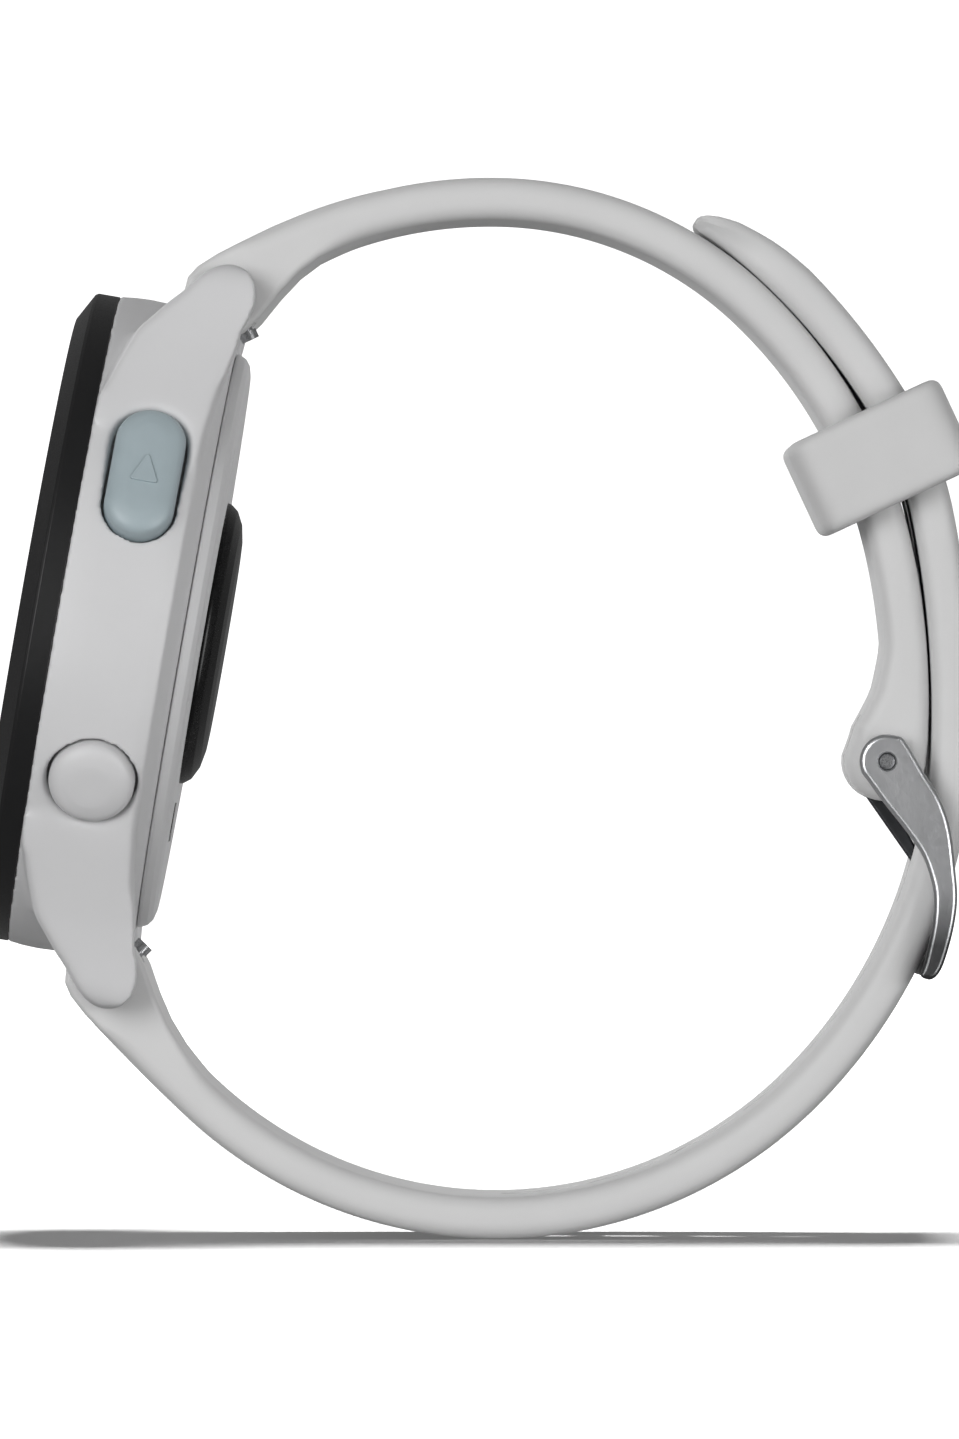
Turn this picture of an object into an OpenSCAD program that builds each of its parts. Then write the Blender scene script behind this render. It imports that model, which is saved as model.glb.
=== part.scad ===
// GPS running watch on its buckled strap: round case, five side buttons,
// quick-release spring bars, and a two-piece strap closed by a tongue buckle.
// Frame: origin in the middle of the wrist opening, +Y along the wrist,
// +Z up the loop, display facing -X. The case leans by "tilt" about +Y.
// Case parts are drawn in the case frame: x to 3 o'clock, y to 12 o'clock,
// z out of the display, with depths measured down from the lens face.

/* [Case] */
// outer diameter of the bezel
case_d = 43; // [42:0.1:47]
// lean of the case in the buckled loop, degrees
tilt = 9.9; // [0:0.1:15]
// diameter of the flat part of the lens
lens_d = 39; // [36:0.1:40]
// depth of the bezel ring
bezel_h = 2.6; // [2:0.1:3]
// depth at which the straight side of the case ends
side_h = 9.75; // [9:0.05:10.5]
// depth of the joint between case and rear cover
cover_w = 10.75; // [10:0.05:11]
// depth of the flat back
back_w = 11.9; // [11.2:0.05:12.5]
// depth of the sensor window's face
hump_w = 13.3; // [12.5:0.05:14]
// radius of the sensor window
hump_r = 9.4; // [8:0.1:10]
// radius of the case's round inside
cavity_r = 19; // [18.5:0.1:19.2]

/* [Lugs] */
// strap width; the lug gap is a little wider
strap_w = 20; // [18:1:22]
// gap between the lugs
lug_gap = 20.3; // [18.3:0.1:22.5]
// distance of each spring bar from the case axis
bar_y = 22.7; // [22:0.1:24]
// depth of the spring bar axes below the lens
bar_w = 9.8; // [9:0.1:10.5]
// radius of the spring bar holes in the lugs
bar_hole_r = 0.45; // [0.4:0.05:0.6]

/* [Buttons] */
// angle of the outer buttons from the 3 o'clock line
button_a = 28; // [22:0.5:32]
// depth of the button centres below the lens
button_w = 6.55; // [6:0.05:7]
// length of the start button
run_l = 9.3; // [7:0.1:10]
// width of the start button
run_w = 4.7; // [4:0.1:5.2]
// diameter of the round buttons
round_d = 5.7; // [4.5:0.1:6]
// how far each button presses in
press = 0.5; // [0.3:0.05:0.5]

/* [Strap] */
// thickness of the strap band
strap_t = 2.74; // [2.4:0.02:3]
// spacing of the strap holes
hole_pitch = 6; // [5.5:0.1:6.5]
// length of a strap hole along the strap
hole_l = 4.5; // [4:0.1:4.6]
// width of a strap hole
hole_w = 2.4; // [2:0.1:3]

/* [Buckle and keeper] */
// radius of the buckle pin
pin_r = 0.9; // [0.75:0.05:1]
// outer width of the buckle frame
frame_w = 24.4; // [23:0.1:25]
// thickness of the buckle frame's arms
arm_t = 1.85; // [1.4:0.05:2]
// width of the tongue
tongue_w = 2; // [1.6:0.1:2.2]
// size of the keeper across the straps
keeper_x = 11; // [10:0.1:12]
// size of the keeper along the straps
keeper_l = 6.45; // [5:0.05:8]

/* [Hidden] */
$fn = 96;

case_r = case_d / 2;
lens_x = -34.82;
lens_z = 6.547;
half_t = strap_t / 2;
half_w = strap_w / 2;
lens_t = 1.2;
gasket_t = 0.2;
ledge_r = 18.3;
flange_r = 13.8;
flange_w = 9.4;
screw_r = 16.4;
screw_at = [45, 135, 225, 315];
port_y = -11.95;
motor_y = 14.9;
motor_r = 3.6;
light_a = 180 - button_a;
down_a = 180 + button_a;

// radial distances of the button parts from the case axis
cap_top = 22.6;
cap_base = 20.7;
pocket_floor = 20.1;
stem_end = 17.9;
stem_r = 0.85;
stem_bore = 0.88;
clip_in = 18.42;
clip_out = 18.83;
seal_at = 19.575;
run_half = (run_l - run_w) / 2;

// strap paths: start [x, z, heading], then arcs [length, radius], left turns positive
short_start = [-23.58, 27.22, 28.9];
short_arcs = [[8.21, -106.73], [13.25, -28.96], [17.77, -24.65], [18.66, -31.45],
    [13.43, -45.31], [14, -18]];
long_start = [-30.36, -17.42, -53.6];
long_arcs = [[10.85, 58.26], [43.31, 28.35], [25.27, 33.18], [15.18, 67.65],
    [7.06, 21.09], [16.31, 42.93], [8, 26]];
pin = [21.63, -3.27];
pin_s = 72.3;
end_r = 2.6;
bar_r = 0.9;
tongue_s = 71.05;
tail_s = 120.3;
slide = 1.5;
lever_y = -6;

// where a path is after a length s
function arc_step(p, s, r) = let (a = s / r * 180 / PI)
    [p[0] + r * (sin(p[2] + a) - sin(p[2])), p[1] - r * (cos(p[2] + a) - cos(p[2])), p[2] + a];
function along(p, arcs, s, i = 0) = (i == len(arcs) - 1 || s <= arcs[i][0])
    ? arc_step(p, s, arcs[i][1])
    : along(arc_step(p, arcs[i][0], arcs[i][1]), arcs, s - arcs[i][0], i + 1);
function beside(q, o) = [q[0] - o * sin(q[2]), q[1] + o * cos(q[2])];
function short_at(s) = along(short_start, short_arcs, s);
function long_at(s) = along(long_start, long_arcs, s);

// offsets of the strap faces from the path, outer and inner
function short_out(s) = lookup(s, [[2.6, 1.64], [6.5, 1.66], [10, 1.52], [14, half_t],
    [66, half_t], [pin_s, 1.38]]);
function short_in(s) = lookup(s, [[3, -3.2], [4.9, -2.48], [6.8, -1.75], [8.4, -1.48],
    [11, -half_t], [64.5, -half_t], [67.5, -2.1], [70, -3.3], [pin_s, -3.82]]);
function long_out(s) = lookup(s, [[1.6, -1.7], [5.5, -1.47], [9, -half_t], [112.5, -half_t],
    [114.2, -1.25], [115.4, -1.11], [116.6, -0.9], [117.9, -0.65], [119, -0.28],
    [tail_s, 0.35]]);
function long_in(s) = lookup(s, [[1.6, 3.2], [3.6, 2.59], [5.6, 1.95], [7.2, 1.66],
    [10, half_t]]);

module in_case() {
    translate([lens_x, 0, lens_z]) rotate([0, tilt, 0]) rotate([90, 0, -90]) children();
}

// turned shape from [radius, depth] points
module turned(points) {
    rotate_extrude() polygon([for (p = points) [p[0], -p[1]]]);
}

module ring(r_out, r_in, w0, w1) {
    turned([[r_in, w0], [r_out, w0], [r_out, w1], [r_in, w1]]);
}

module disc(r, w0, w1) {
    translate([0, 0, -w1]) cylinder(r = r, h = w1 - w0);
}

// block in the case frame between two depths
module slab(x, y, w0, w1) {
    translate([-x / 2, -y / 2, -w1]) cube([x, y, w1 - w0]);
}

// [12 o'clock position, depth] outline run along 3 o'clock between x0 and x1
module side_shape(points, x0, x1) {
    translate([x0, 0, 0]) rotate([90, 0, 90]) linear_extrude(height = x1 - x0)
        polygon([for (p = points) [p[0], -p[1]]]);
}

module on_bar(side) {
    translate([0, side * bar_y, -bar_w]) rotate([0, 90, 0]) children();
}

// z runs outward along the button's radius, y along the case side
module on_button(a) {
    rotate([0, 0, a]) translate([0, 0, -button_w]) rotate([0, 90, 0]) children();
}

// ---- case ----

module lens() {
    color([0.05, 0.05, 0.06])
        in_case() turned([[0, 0], [lens_d / 2 - 0.25, 0], [lens_d / 2 - 0.05, 0.2],
            [lens_d / 2 - 0.05, lens_t], [0, lens_t]]);
}

module display_gasket() {
    color([0.15, 0.15, 0.15])
        in_case() ring(lens_d / 2 - 0.1, ledge_r, lens_t, lens_t + gasket_t);
}

module display_panel() {
    color([0.02, 0.02, 0.03])
        in_case() {
            disc(16.6, lens_t, 2.5);
            translate([0, -15.2, 0]) slab(9, 2.6, 2.5, 2.7);
        }
}

module bezel() {
    color([0.1, 0.1, 0.11])
        in_case() turned([[lens_d / 2, 0.02], [lens_d / 2 + 0.15, 0], [case_r - 0.12, 0.95],
            [case_r, 1.15], [case_r, bezel_h], [ledge_r, bezel_h],
            [ledge_r, lens_t + gasket_t], [lens_d / 2, lens_t + gasket_t]]);
}

module antenna_ring() {
    color([0.75, 0.65, 0.35])
        in_case() difference() {
            ring(18.8, 17.3, bezel_h, 4);
            translate([0, 18, 0]) slab(3, 3, bezel_h, 3.6);
        }
}

lug_side = [[13, 2.62], [14.7, 2.72], [16.8, 3.35], [19.3, 4.25], [21.6, 6.1],
    [22.3, 6.8], [23.5, 7.7], [24.2, 8.4], [24.6, 9.2], [24.7, 9.7], [24.6, 10.25],
    [24.3, 10.8], [23.6, 11.35], [22.8, 11.52], [22.2, 11.52], [21.2, 11.3], [20.4, 11.0],
    [19.4, 10.9], [18.8, 10.8], [16, 10.3], [13.3, 9.97], [10.6, 9.8]];
lug_top = [[10.15, 8], [19.2, 8], [18.2, 11.45], [17.1, 14.1], [15.9, 16.7], [14.8, 19.2],
    [13.95, 21.6], [13.4, 23.4], [13, 24.2], [12.3, 24.7], [11.4, 24.8], [10.15, 24.8]];

module lug(side_x, side_y) {
    mirror([side_x < 0 ? 1 : 0, 0, 0]) mirror([0, side_y < 0 ? 1 : 0, 0])
        intersection() {
            side_shape(lug_side, lug_gap / 2, 20);
            translate([0, 0, -12]) linear_extrude(height = 10) polygon(lug_top);
        }
}

module mid_case() {
    color([0.8, 0.8, 0.8])
        in_case() difference() {
            union() {
                turned([[case_r - 3, bezel_h], [case_r, bezel_h], [case_r + 0.13, 3.6],
                    [case_r + 0.17, 4.6], [case_r + 0.12, 5.8], [case_r, 7.6],
                    [case_r - 0.12, 9], [case_r - 0.35, side_h], [19.35, cover_w],
                    [case_r - 3, cover_w]]);
                for (sx = [-1, 1], sy = [-1, 1]) lug(sx, sy);
                ring(case_r - 2, flange_r, flange_w, cover_w);
                for (a = screw_at) rotate([0, 0, a]) translate([screw_r, 0, 0])
                    disc(1.2, 7, flange_w + 0.1);
            }
            difference() {
                disc(cavity_r, 0, flange_w);
                for (a = screw_at) rotate([0, 0, a]) translate([screw_r, 0, 0])
                    disc(1.2, 7, flange_w);
            }
            for (side = [-1, 1]) on_bar(side) {
                cylinder(r = 2.72, h = lug_gap, center = true);
                cylinder(r = bar_hole_r, h = 23.3, center = true);
            }
            for (a = screw_at) rotate([0, 0, a]) translate([screw_r, 0, 0])
                disc(0.52, 7.4, cover_w + 1);
            on_button(button_a) cap_hole(run_half, run_w / 2 + 0.12);
            for (a = [-button_a, light_a, 180, down_a])
                on_button(a) cap_hole(0, round_d / 2 + 0.12);
        }
}

module cap_hole(half, r) {
    translate([0, 0, pocket_floor]) {
        for (s = half > 0 ? [-1, 1] : [0]) translate([0, s * half, 0]) cylinder(r = r, h = 4);
        if (half > 0) translate([-r, -half, 0]) cube([2 * r, 2 * half, 4]);
    }
    translate([0, 0, 16]) cylinder(r = stem_bore, h = 6);
    translate([0, 0, seal_at - 0.225]) cylinder(r = 1.35, h = 0.45);
}

module chassis_plate() {
    color([0.45, 0.46, 0.48])
        in_case() difference() {
            disc(18.8, 4, 4.8);
            translate([0, -15, 0]) slab(10, 3, 3.9, 4.9);
            translate([0, 7.5, 0]) slab(8, 3, 3.9, 4.9);
        }
}

module main_board() {
    color([0.05, 0.3, 0.15])
        in_case() difference() {
            union() {
                disc(16.8, 8.5, 9.2);
                translate([3, 5, 0]) slab(8, 7, 9.2, 10.1);
                translate([-6, -1, 0]) slab(5, 5, 9.2, 9.9);
                translate([6, -5, 0]) slab(4, 3, 9.2, 9.8);
            }
            for (a = screw_at) rotate([0, 0, a]) translate([screw_r, 0, 0]) disc(1.35, 8, 10);
            translate([0, 16.4, 0]) slab(5, 2, 8, 10);
        }
}

module battery() {
    color([0.55, 0.57, 0.6])
        in_case() slab(21, 21.6, 4.8, 8.3);
}

module motor_can() {
    color([0.7, 0.7, 0.72])
        in_case() translate([0, motor_y, 0]) {
            turned([[0.35, 4.8], [motor_r, 4.8], [motor_r, 7.6], [motor_r - 0.2, 7.6],
                [motor_r - 0.2, 5], [0.35, 5]]);
            disc(0.35, 4.8, 7.5);
            disc(motor_r, 7.6, 7.8);
        }
}

module motor_rotor() {
    color([0.6, 0.5, 0.3])
        in_case() translate([0, motor_y, 0]) difference() {
            union() {
                disc(0.9, 5.4, 7);
                intersection() {
                    disc(3.1, 5.4, 7);
                    translate([0, 2, 0]) slab(7, 4, 5, 7.2);
                }
            }
            disc(0.41, 5, 7.4);
        }
}

module buzzer() {
    color([0.12, 0.12, 0.12])
        in_case() translate([0, -motor_y, 0]) difference() {
            disc(3.5, 4.8, 7.4);
            disc(0.6, 7, 7.5);
        }
}

module switches() {
    color([0.3, 0.3, 0.32])
        in_case() for (a = [button_a, -button_a, light_a, 180, down_a]) rotate([0, 0, a]) {
            translate([16.35, 0, 0]) slab(1.3, 2.8, 4.8, 7.8);
            translate([17, 0, -button_w]) rotate([0, 90, 0]) cylinder(r = 0.6, h = 0.35);
        }
}

module button_seals() {
    color([0.1, 0.1, 0.1])
        in_case() for (a = [button_a, -button_a, light_a, 180, down_a])
            on_button(a) translate([0, 0, seal_at]) rotate_extrude()
                translate([1.105, 0]) circle(r = 0.215);
}

module sensor_board() {
    color([0.06, 0.25, 0.14])
        in_case() {
            disc(7.9, 11, 11.5);
            slab(2.4, 2.4, 11.5, 12.3);
            for (a = [0, 90, 180, 270]) rotate([0, 0, a]) translate([4.6, 0, 0])
                slab(1.8, 1.8, 11.5, 12.2);
        }
}

module sensor_window() {
    color([0.03, 0.03, 0.035])
        in_case() turned([[8.2, 10.8], [hump_r + 0.85, 10.8], [hump_r + 0.85, 11.2],
            [hump_r - 0.05, 11.2], [hump_r - 0.05, 12.1], [hump_r - 0.45, 12.62],
            [hump_r - 1.3, 13.05], [hump_r - 2.4, hump_w], [0, hump_w], [0, 12.6],
            [7.2, 12.6], [8.2, 12]]);
}

module rear_cover() {
    color([0.7, 0.7, 0.7])
        in_case() difference() {
            turned([[0, cover_w], [19.25, cover_w], [18.9, 11.45], [18.5, 11.75],
                [17.9, back_w], [0, back_w]]);
            disc(hump_r, 10, 12.5);
            disc(hump_r + 0.9, 10, 11.2);
            ring(14.9, 14.1, 10, 11.12);
            translate([0, port_y, 0]) slab(8, 2.6, 10, 12.5);
            for (a = screw_at) rotate([0, 0, a]) translate([screw_r, 0, 0]) {
                disc(0.6, 10, 12.5);
                disc(1.15, 11.35, 12.5);
            }
        }
}

module rear_gasket() {
    color([0.12, 0.12, 0.12])
        in_case() ring(14.87, 14.13, cover_w, 11.12);
}

module case_screws() {
    color([0.6, 0.6, 0.62])
        in_case() for (a = screw_at) rotate([0, 0, a]) translate([screw_r, 0, 0])
            difference() {
                union() {
                    disc(0.5, 7.6, 11.4);
                    disc(1.1, 11.35, 11.8);
                }
                translate([0, 0, -12]) cylinder(r = 0.5, h = 0.5, $fn = 6);
            }
}

module charge_port() {
    color([0.08, 0.08, 0.09])
        in_case() translate([0, port_y, 0]) difference() {
            slab(7.96, 2.56, cover_w, 11.86);
            slab(6.8, 1.5, 11.15, 12.5);
            for (x = [-2.4, -0.8, 0.8, 2.4]) translate([x, 0, 0]) disc(0.3, 10, 12);
        }
}

module charge_contacts() {
    color([0.85, 0.7, 0.3])
        in_case() for (x = [-2.4, -0.8, 0.8, 2.4]) translate([x, port_y, 0])
            disc(0.29, 10.4, 11.55);
}

// ---- buttons ----

// profile of a cap from its base to its rounded top, [half width, radial distance]
function cap_profile(r) = [[r, cap_base], [r, 21.6], [r - 0.12, 21.95], [r - 0.4, 22.3],
    [r - 0.8, 22.52], [r - 1.1, cap_top]];

module cap(half, r) {
    side = cap_profile(r);
    difference() {
        union() {
            for (s = half > 0 ? [-1, 1] : [0]) translate([0, s * half, 0])
                rotate_extrude() polygon(concat([[0, cap_base]], side, [[0, cap_top]]));
            if (half > 0) rotate([90, 0, 0]) linear_extrude(height = 2 * half, center = true)
                polygon(concat(side, [for (i = [len(side) - 1:-1:0]) [-side[i][0], side[i][1]]]));
        }
        translate([0, 0, cap_base - 1]) cylinder(r = 1.75, h = 1.8);
    }
    translate([0, 0, stem_end]) cylinder(r = stem_r, h = 0.5);
    translate([0, 0, stem_end + 0.5]) cylinder(r = 0.58, h = 0.45);
    translate([0, 0, stem_end + 0.95]) cylinder(r = stem_r, h = 21.5 - stem_end - 0.9);
}

module clip() {
    translate([0, 0, clip_in]) difference() {
        cylinder(r = 1.6, h = clip_out - clip_in);
        translate([0, 0, -1]) cylinder(r = 0.6, h = 3);
        translate([0, -0.5, -1]) cube([3, 1, 3]);
    }
}

module coil(r, wire, h, turns) {
    linear_extrude(height = h, twist = -360 * turns, slices = 14 * turns, $fn = 8)
        translate([r, 0]) circle(r = wire, $fn = 8);
}

module press_spring() {
    translate([0, 0, pocket_floor + 0.02]) coil(1.3, 0.12, 1.36, 3);
}

module run_cap() {
    color([0.59, 0.635, 0.645])
        in_case() on_button(button_a) {
            cap(run_half, run_w / 2);
            translate([0, 0, cap_top]) linear_extrude(height = 0.12)
                polygon([[-0.95, -1.1], [0.95, -1.1], [0, 1.1]]);
        }
}

module run_clip() {
    color([0.55, 0.55, 0.57])
        in_case() on_button(button_a) clip();
}

module run_spring() {
    color([0.6, 0.6, 0.62])
        in_case() on_button(button_a) press_spring();
}

module back_cap() {
    color([0.8, 0.8, 0.8])
        in_case() on_button(-button_a) cap(0, round_d / 2);
}

module back_clip() {
    color([0.55, 0.55, 0.57])
        in_case() on_button(-button_a) clip();
}

module back_spring() {
    color([0.6, 0.6, 0.62])
        in_case() on_button(-button_a) press_spring();
}

module light_cap() {
    color([0.8, 0.8, 0.8])
        in_case() on_button(light_a) cap(0, round_d / 2);
}

module light_clip() {
    color([0.55, 0.55, 0.57])
        in_case() on_button(light_a) clip();
}

module light_spring() {
    color([0.6, 0.6, 0.62])
        in_case() on_button(light_a) press_spring();
}

module up_cap() {
    color([0.8, 0.8, 0.8])
        in_case() on_button(180) cap(0, round_d / 2);
}

module up_clip() {
    color([0.55, 0.55, 0.57])
        in_case() on_button(180) clip();
}

module up_spring() {
    color([0.6, 0.6, 0.62])
        in_case() on_button(180) press_spring();
}

module down_cap() {
    color([0.8, 0.8, 0.8])
        in_case() on_button(down_a) cap(0, round_d / 2);
}

module down_clip() {
    color([0.55, 0.55, 0.57])
        in_case() on_button(down_a) clip();
}

module down_spring() {
    color([0.6, 0.6, 0.62])
        in_case() on_button(down_a) press_spring();
}

// ---- spring bars ----
module bar_place(side) {
    in_case() translate([0, side * bar_y, -bar_w]) rotate([90, 0, 90]) children();
}

// lever direction in the bar's cross-section: toward the case axis and the wrist
function lever_a(side) = side > 0 ? -145.2 : -34.8;

module tube_of(side) {
    bar_place(side) difference() {
        cylinder(r = bar_r, h = 18.4, center = true);
        cylinder(r = 0.6, h = 20, center = true);
        rotate([0, 0, lever_a(side)]) translate([0, -0.5, -lever_y - 0.5 - slide - 0.1])
            cube([2, 1, slide + 1.2]);
    }
}

module tip_of(side) {
    bar_place(side) {
        translate([0, 0, -9.2]) cylinder(r = 0.58, h = 7.2);
        translate([0, 0, -11.4]) cylinder(r = 0.4, h = 3);
    }
}

module lever_of(side) {
    bar_place(side) {
        translate([0, 0, 5]) cylinder(r = 0.56, h = 4);
        translate([0, 0, 8]) cylinder(r = 0.4, h = 3.4);
        translate([0, 0, -lever_y]) rotate([0, 0, lever_a(side)]) rotate([0, 90, 0]) {
            cylinder(r = 0.42, h = 3.1);
            translate([0, 0, 2.6]) cylinder(r = 0.6, h = 0.6);
        }
    }
}

module spring_of(side) {
    bar_place(side) translate([0, 0, -1.9]) coil(0.4, 0.1, 6.8, 10);
}

module top_bar_tube() {
    color([0.6, 0.6, 0.62]) tube_of(1);
}

module top_bar_tip() {
    color([0.65, 0.65, 0.67]) tip_of(1);
}

module top_bar_lever() {
    color([0.65, 0.65, 0.67]) lever_of(1);
}

module top_bar_spring() {
    color([0.55, 0.55, 0.57]) spring_of(1);
}

module low_bar_tube() {
    color([0.6, 0.6, 0.62]) tube_of(-1);
}

module low_bar_tip() {
    color([0.65, 0.65, 0.67]) tip_of(-1);
}

module low_bar_lever() {
    color([0.65, 0.65, 0.67]) lever_of(-1);
}

module low_bar_spring() {
    color([0.55, 0.55, 0.57]) spring_of(-1);
}

// ---- straps ----

// x-z outline run along the wrist, centred
module across(width, points) {
    rotate([90, 0, 0]) linear_extrude(height = width, center = true) polygon(points);
}

// end of a strap round its spring bar, from the outer face to the wrist side,
// as [12 o'clock position, depth]
end_side = concat([[25.2, 8.52], [24.2, 7.42], [23.4, 6.9], [22.4, 6.82], [22, 7], [21.95, 7.55]],
    [for (a = [240:-15:180]) [bar_y + 2.4 * cos(a), bar_w + 2.4 * sin(a)]],
    [[20.32, 11], [21.5, 11.9], [23.3, 12.9], [24.9, 13.95]]);
wing_side = [[19.65, 7.1], [19.95, 6.9], [22.6, 6.9], [22.6, 9.3], [19.65, 9.3]];

function in_loop(side, p) = [lens_x + side * p[0] * sin(tilt) + p[1] * cos(tilt),
    lens_z + side * p[0] * cos(tilt) - p[1] * sin(tilt)];

// fills the corners between a strap end and the round case
module wings(side) {
    in_case() mirror([0, side < 0 ? 1 : 0, 0]) difference() {
        side_shape(wing_side, -half_w + 0.2, half_w - 0.2);
        disc(case_r + 0.42, 6, 10);
    }
}

// room for the spring bar and its lever in a strap end
module bar_room(side) {
    bar_place(side) {
        cylinder(r = bar_r + 0.03, h = strap_w + 1, center = true);
        rotate([0, 0, lever_a(side)]) translate([0, -0.75, -lever_y - 0.75 - slide - 0.1])
            cube([4, 1.5, slide + 1.7]);
    }
}

module strap_short() {
    outer = [for (s = concat([for (s = [4:1.3:71]) s], [pin_s])) beside(short_at(s), short_out(s))];
    tip = [for (a = [-20:-12:-176]) [pin[0] + end_r * cos(a), pin[1] + end_r * sin(a)]];
    inner = [for (s = concat([pin_s], [for (s = [70.9:-1.3:8.4]) s]))
        beside(short_at(s), short_in(s))];
    end = [for (i = [len(end_side) - 1:-1:0]) in_loop(1, end_side[i])];
    color([0.81, 0.81, 0.81])
        difference() {
            union() {
                across(strap_w, concat(outer, tip, inner, end));
                wings(1);
            }
            bar_room(1);
            translate([pin[0], 0, pin[1]]) rotate([90, 0, 0]) {
                cylinder(r = pin_r + 0.03, h = strap_w + 1, center = true);
                cylinder(r = 3.4, h = 3, center = true);
            }
        }
}

module strap_long() {
    taper_s = [112.5, 114.2, 115.4, 116.6, 117.9, 119, tail_s];
    outer = [for (s = concat([for (s = [3:1.3:111]) s], taper_s)) beside(long_at(s), long_out(s))];
    inner = [for (s = [tail_s:-1.3:7.5]) beside(long_at(s), long_in(s))];
    end = [for (i = [len(end_side) - 1:-1:0]) in_loop(-1, end_side[i])];
    color([0.81, 0.81, 0.81])
        difference() {
            union() {
                across(strap_w, concat(outer, inner, end));
                wings(-1);
            }
            bar_room(-1);
            for (k = [-6:6]) strap_hole(long_at(tongue_s + k * hole_pitch));
            for (s = [-1, 1]) tail_corner(s);
        }
}

module strap_hole(q) {
    half = (hole_l - hole_w) / 2;
    translate([q[0], 0, q[1]]) rotate([0, -q[2], 0]) {
        for (x = [-half, half]) translate([x, 0, 0])
            cylinder(r = hole_w / 2, h = 6, center = true);
        cube([2 * half, hole_w, 6], center = true);
    }
}

// rounds the corners of the tail
module tail_corner(s) {
    q = long_at(tail_s);
    translate([q[0], 0, q[1]]) rotate([0, -q[2], 0]) difference() {
        translate([-7, s > 0 ? 3 : -13, -4]) cube([10, 10, 8]);
        translate([-7, s * 3, 0]) cylinder(r = 7, h = 12, center = true);
    }
}

// ---- buckle and keeper ----

module at_pin() {
    translate([pin[0], 0, pin[1]]) children();
}

module along_y(r, h) {
    rotate([90, 0, 0]) cylinder(r = r, h = h, center = true);
}

module buckle_pin() {
    color([0.6, 0.6, 0.62])
        at_pin() {
            along_y(pin_r, 20.3);
            along_y(0.5, frame_w);
        }
}

arm_side = [[1.17, 1.32], [2.48, -0.85], [3.46, -2.48], [4.11, -4.44], [4.44, -7.05],
    [4.57, -9], [4.31, -10.96], [3.78, -12.9], [3.4, -13.75], [3, -14.15], [2.6, -14.2],
    [2.2, -13.9], [2.48, -12.9], [2.94, -10.8], [3.07, -9], [2.87, -7.7], [2.28, -6.07],
    [1.17, -4.44], [-0.13, -2.8], [-1.24, -1.3]];
bar_side = [[3.42, -11.2], [4.27, -11.1], [3.78, -12.9], [3.4, -13.75], [3, -14.15],
    [2.6, -14.2], [2.24, -13.95], [2.62, -12.95], [3.08, -12]];
notch_side = [[3.5, -10.6], [4.8, -10.6], [4, -14.4], [2.88, -14.4], [3.0, -13.4],
    [3.28, -12]];

module buckle_frame() {
    arm_in = frame_w / 2 - arm_t;
    color([0.42, 0.43, 0.45])
        at_pin() difference() {
            union() {
                for (s = [-1, 1]) translate([0, s * (frame_w - arm_t) / 2, 0]) {
                    across(arm_t, arm_side);
                    along_y(1.76, arm_t);
                }
                across(2 * arm_in + 0.2, bar_side);
            }
            along_y(0.55, frame_w + 2);
            across(tongue_w + 0.5, notch_side);
        }
}

tongue_side = [[-1.72, -0.75], [-1.84, -1.33], [1.69, -6.39], [3.4, -8.83], [3.92, -9.55],
    [3.78, -10.6], [3.42, -12], [3.14, -13.2], [3.32, -13.28], [3.62, -13.1], [4.02, -12],
    [4.32, -10.6], [4.42, -9.3], [4.22, -8.65], [3.6, -7.8], [2.62, -6.45], [1.75, -5],
    [0.5, -2.2]];

module buckle_tongue() {
    color([0.65, 0.65, 0.67])
        at_pin() difference() {
            union() {
                across(tongue_w, tongue_side);
                along_y(1.75, tongue_w);
            }
            along_y(pin_r + 0.05, 10);
        }
}

// keeper frame: x across the straps, z along them
module keeper() {
    wall = 2;
    inside = [keeper_x - 2 * wall, strap_w + 0.7];
    color([0.8, 0.8, 0.8])
        translate([21.31, 0, 16.64]) rotate([0, -25, 0]) difference() {
            cube([keeper_x, inside[1] + 2 * 1.9, keeper_l], center = true);
            cube([inside[0], inside[1], keeper_l + 1], center = true);
            for (x = [-1, 1], z = [-1, 1]) translate([x * keeper_x / 2, 0, z * keeper_l / 2])
                rotate([0, 45, 0]) cube([0.7, 40, 0.7], center = true);
        }
}

lens();
display_gasket();
display_panel();
bezel();
antenna_ring();
mid_case();
chassis_plate();
main_board();
battery();
motor_can();
motor_rotor();
buzzer();
switches();
button_seals();
sensor_board();
sensor_window();
rear_cover();
rear_gasket();
case_screws();
charge_port();
charge_contacts();
run_cap();
run_clip();
run_spring();
back_cap();
back_clip();
back_spring();
light_cap();
light_clip();
light_spring();
up_cap();
up_clip();
up_spring();
down_cap();
down_clip();
down_spring();
top_bar_tube();
top_bar_tip();
top_bar_lever();
top_bar_spring();
low_bar_tube();
low_bar_tip();
low_bar_lever();
low_bar_spring();
strap_short();
strap_long();
buckle_pin();
buckle_frame();
buckle_tongue();
keeper();
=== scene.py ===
"""Looks of the GPS running watch: every visible piece is built here in millimetres
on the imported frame, then put into the row frame in metres."""
import math

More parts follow.
